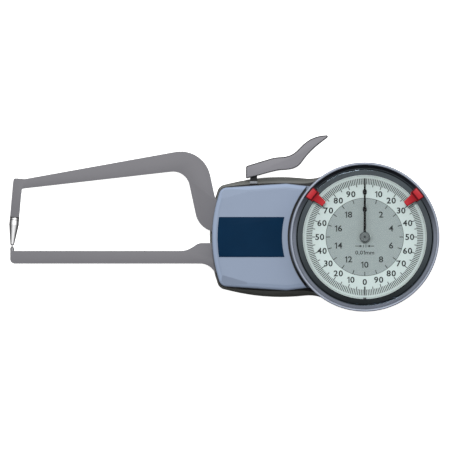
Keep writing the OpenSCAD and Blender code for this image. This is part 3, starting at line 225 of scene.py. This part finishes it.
def piece(name, bm, mats, body, smooth=35):
    """A finished mesh that rides on a body; its level faces stay flat."""
    mesh = bpy.data.meshes.new(name)
    bmesh.ops.recalc_face_normals(bm, faces=bm.faces)
    bm.to_mesh(mesh)
    bm.free()
    for mat in mats:
        mesh.materials.append(mat)
    mesh.polygons.foreach_set("use_smooth", [abs(face.normal.z) < FLAT for face in mesh.polygons])
    mesh.set_sharp_from_angle(angle=math.radians(smooth))
    obj = bpy.data.objects.new(name, mesh)
    scene.collection.objects.link(obj)
    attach(obj, body)
    return obj


def rounded(node, width, segments=3, sharp=40, pick=None, second=None, where=None, cut_z=None):
    """A copy of a CAD node with its sharp edges rounded, which stands for the node.

    Only the outer edges that pick(edge) takes are rounded, or else all, as far as there is room for it.
    A second look goes on the faces that where(middle, normal) picks, which may end at a level cut."""
    bm = bmesh.new()
    bm.from_mesh(NODES[node].data)
    bmesh.ops.remove_doubles(bm, verts=bm.verts, dist=WELD)
    bmesh.ops.dissolve_limit(bm, angle_limit=math.radians(COPLANAR), verts=bm.verts, edges=bm.edges)
    edges = [e for e in bm.edges if e.is_manifold and e.calc_face_angle(0) > math.radians(sharp)]
    if pick:
        edges = [e for e in edges if e.is_convex and pick(e)]
    bmesh.ops.bevel(bm, geom=edges, offset=width * MM, offset_type="OFFSET", segments=segments,
                    profile=ROUND_PROFILE, affect="EDGES", clamp_overlap=pick is None)
    if cut_z:
        bmesh.ops.bisect_plane(bm, geom=bm.verts[:] + bm.edges[:] + bm.faces[:], dist=WELD,
                               plane_co=(0, 0, cut_z * MM), plane_no=(0, 0, 1))
    bm.normal_update()
    for face in bm.faces:
        face.material_index = 1 if where and where(face.calc_center_median() / MM, face.normal) else 0
    mats = [LOOKS[SLOT_OF[node]]] + ([second] if second else [])
    obj = piece(node + "_rounded", bm, mats, BODY_OF[node])
    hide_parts(node)


def lathe(profile, steps=192, closed=False, bm=None):
    """Revolves (radius, z) points about the dial axis; a closed profile joins its last point to its first."""
    bm = bm or bmesh.new()
    turns = [2 * math.pi * i / steps for i in range(steps)]
    rings = []
    for r, z in profile:
        if r == 0:
            rings.append([bm.verts.new((0, 0, z * MM))])
            continue
        rings.append([bm.verts.new((r * MM * math.cos(t), r * MM * math.sin(t), z * MM)) for t in turns])
    pairs = list(zip(rings, rings[1:])) + ([(rings[-1], rings[0])] if closed else [])
    for a, b in pairs:
        for i in range(steps):
            corner = [a[i % len(a)], a[(i + 1) % len(a)], b[(i + 1) % len(b)], b[i % len(b)]]
            unique = [v for k, v in enumerate(corner) if v not in corner[:k]]
            if len(unique) > 2:
                bm.faces.new(unique)
    return bm


def band(r_in, r_out, z_span, bm=None):
    """A flat ring between two radii and two heights."""
    low, top = z_span
    return lathe([(r_in, low), (r_in, top), (r_out, top), (r_out, low)], closed=True, bm=bm)


def prism(bm, corners, z0, z1):
    """A straight-sided block over an outline."""
    low = [bm.verts.new((x * MM, y * MM, z0 * MM)) for x, y in corners]
    top = [bm.verts.new((x * MM, y * MM, z1 * MM)) for x, y in corners]
    bm.faces.new(low[::-1])
    bm.faces.new(top)
    for i in range(len(corners)):
        k = (i + 1) % len(corners)
        bm.faces.new((low[i], low[k], top[k], top[i]))


def box(bm, x0, x1, y0, y1, z0, z1):
    """A straight-sided block over a rectangle."""
    prism(bm, [(x0, y0), (x1, y0), (x1, y1), (x0, y1)], z0, z1)


def on_dial(degrees, r):
    """A point of the dial; degrees run clockwise from its top."""
    a = math.radians(90 - degrees)
    return Vector((r * math.cos(a), r * math.sin(a)))


def spoke(bm, degrees, r0, r1, width, z_span):
    """A radial tick."""
    along = on_dial(degrees, 1)
    across = Vector((-along.y, along.x)) * width / 2
    prism(bm, [along * r0 - across, along * r1 - across, along * r1 + across, along * r0 + across], *z_span)


GLYPHS = {}
GLYPH_HALF = 0.5
GLYPH_CURVE_STEPS = 3
FLAGGED_ONE = ((0.2, 0), (0.36, 0), (0.36, 1), (0.25, 1), (0, 0.8), (0, 0.67), (0.2, 0.77))


def font_solid(char, bold):
    """A character of the built-in font as a solid one unit thick."""
    curve = bpy.data.curves.new("glyph", "FONT")
    curve.body = char
    curve.resolution_u = GLYPH_CURVE_STEPS
    curve.extrude = GLYPH_HALF
    curve.offset = bold
    obj = bpy.data.objects.new("glyph", curve)
    scene.collection.objects.link(obj)
    mesh = bpy.data.meshes.new_from_object(obj.evaluated_get(bpy.context.evaluated_depsgraph_get()))
    bpy.data.objects.remove(obj)
    bpy.data.curves.remove(curve)
    return mesh


def flagged_one(bold):
    """A figure one with a flag, as tall as the font's nought."""
    tall = [v.co.y for v in glyph("0", bold).vertices]
    unit = max(tall) - min(tall)
    bm = bmesh.new()
    outline = [(x * unit / MM, (min(tall) + y * unit) / MM) for x, y in FLAGGED_ONE]
    prism(bm, outline, -GLYPH_HALF / MM, GLYPH_HALF / MM)
    mesh = bpy.data.meshes.new("glyph")
    bm.to_mesh(mesh)
    bm.free()
    return mesh


def glyph(char, bold):
    """A character's solid, made once."""
    if (char, bold) not in GLYPHS:
        GLYPHS[char, bold] = flagged_one(bold) if char == "1" else font_solid(char, bold)
    return GLYPHS[char, bold]


def words(bm, text, height, middle, z_span, bold, wide, gap=0.08):
    """Raised print, centred on a point; height is a digit's, and wide stretches it along the line."""
    tall = [v.co.y for v in glyph("0", bold).vertices]
    foot, unit = min(tall), max(tall) - min(tall)
    row, at = [], 0.0
    for char in text:
        mesh = glyph(char, bold)
        reach = [v.co.x for v in mesh.vertices]
        row.append((mesh, at - min(reach)))
        at += max(reach) - min(reach) + gap
    scale = height / unit * MM
    z0, z1 = z_span
    move = Matrix.Translation(Vector((middle[0], middle[1], (z0 + z1) / 2)) * MM)
    size = Matrix.Diagonal((scale * wide, scale, (z1 - z0) * MM, 1))
    for mesh, shift in row:
        copy = mesh.copy()
        copy.transform(move @ size @ Matrix.Translation((shift - (at - gap) / 2, -foot - unit / 2, 0)))
        bm.from_mesh(copy)
        bpy.data.meshes.remove(copy)


# Rounded shells over the CAD nodes

ARM_ROUND, LABEL_ROUND, LEVER_ROUND, MARKER_ROUND, BEZEL_ROUND = 0.2, 0.08, 0.45, 0.5, 0.1
LEVER_EDGE_UP = (0.1, 0.99)
MARKER_SHARP = 50
MARKER_FOOT_Z, MARKER_SHADE_Z = 29.0, 30.1
MARKER_RIM_UP = (0.05, 0.97)
BEAD_IN_R = 31.0

lever_z = [corner.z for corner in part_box("lever")]


def on_lever_rim(edge):
    """Picks the edges round the lever's two flat faces."""
    return all(min(abs(v.co.z - z) for z in lever_z) < WELD for v in edge.verts)


def on_lever_edge(_, normal):
    """Picks the lever's rounded edges, which get painted shade."""
    return LEVER_EDGE_UP[0] < abs(normal.z) < LEVER_EDGE_UP[1]


def above_marker_foot(edge):
    """Picks the edges of a marker above the part that clips onto the bezel."""
    return sum(v.co.z for v in edge.verts) / 2 > MARKER_FOOT_Z * MM


def on_marker_rim(middle, normal):
    """Picks the slopes and rounded edges at the top of a marker's block, which get painted shade."""
    return middle.z > MARKER_SHADE_Z and MARKER_RIM_UP[0] < normal.z < MARKER_RIM_UP[1]


def inside_bead(middle, _):
    """Picks the bezel's inner cone."""
    return middle.xy.length < BEAD_IN_R


for node, width in (("moving_arm", ARM_ROUND), ("fixed_arm", ARM_ROUND), ("label_plate", LABEL_ROUND)):
    rounded(node, width)
rounded("lever", LEVER_ROUND, pick=on_lever_rim, second=LEVER_EDGE_SHADE, where=on_lever_edge)
for node in ("left_tolerance_marker", "right_tolerance_marker"):
    rounded(node, MARKER_ROUND, sharp=MARKER_SHARP, pick=above_marker_foot, second=MARKER_PAINTED_SHADE,
            where=on_marker_rim, cut_z=MARKER_SHADE_Z)
rounded("bezel", BEZEL_ROUND, second=BEZEL_CONE, where=inside_bead)

# Dial print: the outer scale of 200, and the inner disc of 20

dial_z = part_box("dial_face")[1].z / MM
PRINT_T = 0.03
DISC_INK_LIFT = 0.02
INK_Z = (dial_z, dial_z + PRINT_T)
DISC_INK_Z = (dial_z + DISC_INK_LIFT, dial_z + DISC_INK_LIFT + PRINT_T)

MARKS = 200
TEN, FIVE = 10, 5
TICK_OUT_R = 25.15
TEN_IN_R, FIVE_IN_R, ONE_IN_R = 21.3, 21.6, 22.6
TICK_W, FOOT_TICK_W = 0.35, 0.65
FIGURE_R, FIGURE_H, FIGURE_BOLD, FIGURE_WIDE = 19.35, 2.65, 0.028, 1.08
EDGE_LINE_R = (26.15, 26.23)

print_bm = bmesh.new()
for i in range(MARKS):
    inner = TEN_IN_R if i % TEN == 0 else FIVE_IN_R if i % FIVE == 0 else ONE_IN_R
    width = FOOT_TICK_W if i == MARKS // 2 else TICK_W
    spoke(print_bm, 360 * i / MARKS, inner, TICK_OUT_R, width, INK_Z)
for i in range(0, MARKS, TEN):
    place = on_dial(360 * i / MARKS, FIGURE_R)
    words(print_bm, str(i % (MARKS // 2)), FIGURE_H, place, INK_Z, FIGURE_BOLD, FIGURE_WIDE)
band(*EDGE_LINE_R, INK_Z, print_bm)
piece("dial_scale_print", print_bm, [INK], "bezel")

DISC_R = (2.05, 16.77)
DISC_LINE_R = (16.6, 16.78)
DISC_MARKS = 20
DISC_TICK_R, DISC_TICK_W = (14.95, 16.7), 0.33
DISC_FIGURE_R, DISC_FIGURE_H, DISC_FIGURE_BOLD, DISC_FIGURE_WIDE = 11.9, 2.65, 0.02, 1.1
UNIT_Y, UNIT_H, UNIT_BOLD, UNIT_WIDE = -6.7, 1.7, 0.016, 1.12
ARROW_Y, ARROW_LINE_HALF, ARROW_HEAD_HALF, ARROW_BAR_HALF = -3.9, 0.15, 0.5, 0.6
ARROW_LINE_X, ARROW_HEAD_X, ARROW_BAR_X = (1.9, 4.1), (1.0, 2.2), (0.4, 0.65)

piece("millimetre_disc", band(*DISC_R, INK_Z), [SUBDIAL], "bezel")

small_bm = band(*DISC_LINE_R, DISC_INK_Z)
for i in range(DISC_MARKS):
    spoke(small_bm, 360 * i / DISC_MARKS, *DISC_TICK_R, DISC_TICK_W, DISC_INK_Z)
for i in range(0, DISC_MARKS, 2):
    place = on_dial(360 * i / DISC_MARKS, DISC_FIGURE_R)
    words(small_bm, str(i), DISC_FIGURE_H, place, DISC_INK_Z, DISC_FIGURE_BOLD, DISC_FIGURE_WIDE)
words(small_bm, "0,01mm", UNIT_H, (0, UNIT_Y), DISC_INK_Z, UNIT_BOLD, UNIT_WIDE)
for side in (-1, 1):
    for span, half in ((ARROW_LINE_X, ARROW_LINE_HALF), (ARROW_BAR_X, ARROW_BAR_HALF)):
        x0, x1 = sorted(side * x for x in span)
        box(small_bm, x0, x1, ARROW_Y - half, ARROW_Y + half, *DISC_INK_Z)
    tip_x, back_x = (side * x for x in ARROW_HEAD_X)
    head = [(back_x, ARROW_Y - ARROW_HEAD_HALF), (tip_x, ARROW_Y), (back_x, ARROW_Y + ARROW_HEAD_HALF)]
    prism(small_bm, head[::side], *DISC_INK_Z)
piece("millimetre_print", small_bm, [INK], "bezel")

# Crystal: a clear window and its dark sloped edge

WINDOW_R, WINDOW_CHAMFER = 26.6, 0.06
EDGE_IN_R, SLOPE_IN_R, SLOPE_OUT_R, EDGE_OUT_R = 26.63, 26.75, 29.4, 30.05
FLANGE_DROP, SLOPE_DROP, LIP_DROP = 0.9, 0.04, 0.02
EDGE_SMOOTH = 15

low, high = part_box("crystal")
z0, z1 = low.z / MM, high.z / MM
flange = z1 - FLANGE_DROP
glass_bm = lathe([(0, z0), (WINDOW_R, z0), (WINDOW_R, z1 - WINDOW_CHAMFER),
                  (WINDOW_R - WINDOW_CHAMFER, z1), (0, z1)])
glass = piece("crystal_window", glass_bm, [LOOKS["crystal_clear"]], "bezel")
edge_bm = lathe([(EDGE_IN_R, z0), (EDGE_OUT_R, z0), (EDGE_OUT_R, flange), (SLOPE_OUT_R, flange),
                 (SLOPE_IN_R, z1 - SLOPE_DROP), (EDGE_IN_R, z1 - LIP_DROP)], closed=True)
edge = piece("crystal_edge", edge_bm, [EDGE_GLASS], "bezel", EDGE_SMOOTH)
edge.visible_shadow = False
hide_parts("crystal")

# Hands, a little fuller than their plates

LONG_HAND_GROW, SHORT_HAND_GROW = 0.07, 0.05

for node, grow in (("long_hand", LONG_HAND_GROW), ("short_hand", SHORT_HAND_GROW)):
    hand_bm = bmesh.new()
    hand_bm.from_mesh(NODES[node].data)
    bmesh.ops.remove_doubles(hand_bm, verts=hand_bm.verts, dist=WELD)
    hand_bm.normal_update()
    moves = [(v, v.normal.xy.normalized() * grow * MM) for v in hand_bm.verts]
    for v, move in moves:
        v.co.xy += move
    hand = piece(node + "_full", hand_bm, [LOOKS["hand_black"]], BODY_OF[node])
    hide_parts(node)

# Hand cap with its chamfer and dimple

CAP_BORE_R, CAP_TOP_R = 0.74, 1.9
CAP_CHAMFER_H = 0.3
DIMPLE_R, DIMPLE_LIP_R, DIMPLE_FLOOR_R = 0.5, 0.42, 0.36
DIMPLE_LIP_H, DIMPLE_H = 0.05, 0.3
CAP_SMOOTH, CAP_STEPS = 20, 96

low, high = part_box("hand_cap")
z0, z1 = low.z / MM, high.z / MM
cap_r = (high.x - low.x) / 2 / MM
cap_bm = lathe([(CAP_BORE_R, z0), (cap_r, z0), (cap_r, z1 - CAP_CHAMFER_H), (CAP_TOP_R, z1), (DIMPLE_R, z1),
                (DIMPLE_LIP_R, z1 - DIMPLE_LIP_H), (DIMPLE_FLOOR_R, z1 - DIMPLE_H), (0, z1 - DIMPLE_H)],
               CAP_STEPS)
# The dimple takes the dark ink, as painted shade in the hollow
for face in cap_bm.faces:
    face.material_index = 1 if face.calc_center_median().xy.length < DIMPLE_LIP_R * MM else 0
cap = piece("hand_cap_turned", cap_bm, [LOOKS["cap_grey"], INK], "pointer", CAP_SMOOTH)
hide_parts("hand_cap")

# Dark collar on the contact tip, and below it a dark band that is painted shade of a groove

CONTACT = Vector((-151.6, -3.7, 10.1))
TIP_LENGTH = 12.3
TIP_TILT = math.radians(5)
COLLAR_R, COLLAR_IN_R = 2.08, 1.2
COLLAR_SPAN, COLLAR_EDGE = (-0.35, 0.05), 0.05
GROOVE_SHADE_R, GROOVE_SHADE_SPAN = 2.05, (-1.3, -1.1)
COLLAR_STEPS = 48

c0, c1 = COLLAR_SPAN
collar_bm = lathe([(COLLAR_IN_R, c0), (COLLAR_R - COLLAR_EDGE, c0), (COLLAR_R, c0 + COLLAR_EDGE),
                   (COLLAR_R, c1 - COLLAR_EDGE), (COLLAR_R - COLLAR_EDGE, c1), (COLLAR_IN_R, c1)],
                  COLLAR_STEPS, closed=True)
g0, g1 = GROOVE_SHADE_SPAN
lathe([(COLLAR_IN_R, g0), (GROOVE_SHADE_R, g0), (GROOVE_SHADE_R, g1), (COLLAR_IN_R, g1)],
      COLLAR_STEPS, closed=True, bm=collar_bm)
along = Vector((math.sin(TIP_TILT), math.cos(TIP_TILT), 0))
turn = along.to_track_quat("Z", "X").to_matrix().to_4x4()
seat = Matrix.Translation((CONTACT + along * TIP_LENGTH) * MM) @ turn
bmesh.ops.transform(collar_bm, matrix=seat, verts=collar_bm.verts)
piece("contact_tip_collar", collar_bm, [LOOKS["stem_black"]], "moving_arm")

# A light grey block round the foot of the lever's stem: a painted highlight there

STEM_HIGHLIGHT_HALF, STEM_HIGHLIGHT_EDGE, STEM_HIGHLIGHT_EDGE_STEPS = 1.65, 0.12, 2
STEM_HIGHLIGHT_Y, STEM_HIGHLIGHT_Z = (22.95, 24.0), (7.9, 12.3)

low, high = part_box("lever_stem")
stem_x = (low.x + high.x) / 2 / MM
stem_highlight_bm = bmesh.new()
box(stem_highlight_bm, stem_x - STEM_HIGHLIGHT_HALF, stem_x + STEM_HIGHLIGHT_HALF, *STEM_HIGHLIGHT_Y, *STEM_HIGHLIGHT_Z)
bmesh.ops.bevel(stem_highlight_bm, geom=stem_highlight_bm.edges[:], offset=STEM_HIGHLIGHT_EDGE * MM, segments=STEM_HIGHLIGHT_EDGE_STEPS,
                profile=ROUND_PROFILE, affect="EDGES")
piece("lever_stem_highlight", stem_highlight_bm, [STEM_FOOT_HIGHLIGHT], "moving_arm")

# A black arc in the cover's round recess, left of the bezel: painted shade in the gap between cover and bezel

GAP_SHADE_R = (32.4, 33.1)
GAP_SHADE_Z = (17.1, 21.2)
GAP_SHADE_FROM, GAP_SHADE_TO, GAP_SHADE_STEPS = 231, 309, 52

turns = [GAP_SHADE_FROM + (GAP_SHADE_TO - GAP_SHADE_FROM) * i / GAP_SHADE_STEPS for i in range(GAP_SHADE_STEPS + 1)]
gap_shade_in, gap_shade_out = GAP_SHADE_R
gap_shade_bm = bmesh.new()
prism(gap_shade_bm, [on_dial(t, gap_shade_out) for t in turns] + [on_dial(t, gap_shade_in) for t in turns[::-1]], *GAP_SHADE_Z)
piece("recess_gap_shade", gap_shade_bm, [LOOKS["rubber_black"]], "housing")

# Studio

FLOOR_HALF = 2.5
FLOOR_DROP = 0.00005
FLOOR_GLOW = 0.85

floor_bm = bmesh.new()
bmesh.ops.create_grid(floor_bm, x_segments=1, y_segments=1, size=FLOOR_HALF)
floor_mesh = bpy.data.meshes.new("floor")
floor_bm.to_mesh(floor_mesh)
floor_bm.free()
floor = bpy.data.objects.new("floor", floor_mesh)
floor.location.z = -FLOOR_DROP
floor_mesh.materials.append(look("floor_white", (0.88, 0.88, 0.88), 0.8, tint=0.005, patch_mm=200, grain_mm=2,
                                 bump=0.0, Emission_Color=(1, 1, 1, 1), Emission_Strength=FLOOR_GLOW))
floor.visible_diffuse = False
floor.visible_glossy = False
scene.collection.objects.link(floor)
floor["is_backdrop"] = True

# The sky's level along Y, from the dark front of the room to its bright back, and its fall below the horizon
SKY = ((-1.0, 0.03), (-0.75, 0.05), (-0.4, 0.35), (0.0, 0.95), (0.64, 0.95), (1.0, 0.85))
HORIZON = (("From Min", -0.15), ("From Max", 0.05), ("To Min", 0.35), ("To Max", 1.0))

world = bpy.data.worlds.new("studio")
world.use_nodes = True
scene.world = world
tree = world.node_tree
sky = tree.nodes["Background"]
direction = tree.nodes.new("ShaderNodeTexCoord")
split = tree.nodes.new("ShaderNodeSeparateXYZ")
half = tree.nodes.new("ShaderNodeMapRange")
shade = tree.nodes.new("ShaderNodeValToRGB")
ground = tree.nodes.new("ShaderNodeMapRange")
half.inputs["From Min"].default_value = -1.0
for socket, value in HORIZON:
    ground.inputs[socket].default_value = value
set_levels(shade, [((y + 1) / 2, level) for y, level in SKY])
# The sky lights the part, and behind it a plain white backdrop is seen
rays = tree.nodes.new("ShaderNodeLightPath")
backdrop = tree.nodes.new("ShaderNodeBackground")
backdrop.inputs["Color"].default_value = (1, 1, 1, 1)
either = tree.nodes.new("ShaderNodeMixShader")
for source, target in (
    (direction.outputs["Generated"], split.inputs["Vector"]),
    (split.outputs["Y"], half.inputs["Value"]),
    (half.outputs["Result"], shade.inputs["Fac"]),
    (shade.outputs["Color"], sky.inputs["Color"]),
    (split.outputs["Z"], ground.inputs["Value"]),
    (ground.outputs["Result"], sky.inputs["Strength"]),
    (rays.outputs["Is Camera Ray"], either.inputs["Fac"]),
    (sky.outputs["Background"], either.inputs[1]),
    (backdrop.outputs["Background"], either.inputs[2]),
    (either.outputs["Shader"], tree.nodes["World Output"].inputs["Surface"]),
):
    tree.links.new(source, target)

# A soft key light above the part, a little behind it
KEY_PLACE, KEY_TARGET = Vector((-0.06, 0.21, 0.98)), Vector((-0.06, 0, 0.01))
KEY_SIDE, KEY_POWER = 0.1, 6.2

light = bpy.data.lights.new("key", "AREA")
light.shape = "RECTANGLE"
light.size = light.size_y = KEY_SIDE
light.energy = KEY_POWER
key = bpy.data.objects.new("key", light)
key.location = KEY_PLACE
key.rotation_euler = (KEY_TARGET - KEY_PLACE).to_track_quat("-Z", "Y").to_euler()
scene.collection.objects.link(key)

# A level view straight onto the dial; the dial axis is off the middle of the square picture
VIEW_SIDE = 450
VIEW_MIDDLE = VIEW_SIDE / 2
MM_PER_PIXEL = 0.43
AXIS_COLUMN, AXIS_ROW = 364.75, 237.0
EYE_HEIGHT = 0.8

camera = bpy.data.cameras.new("front")
camera.type = "ORTHO"
camera.ortho_scale = VIEW_SIDE * MM_PER_PIXEL * MM
eye = bpy.data.objects.new("front", camera)
eye.location = ((VIEW_MIDDLE - AXIS_COLUMN) * MM_PER_PIXEL * MM,
                (AXIS_ROW - VIEW_MIDDLE) * MM_PER_PIXEL * MM, EYE_HEIGHT)
scene.collection.objects.link(eye)
scene.camera = eye
scene.view_settings.view_transform = "Standard"

low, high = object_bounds()
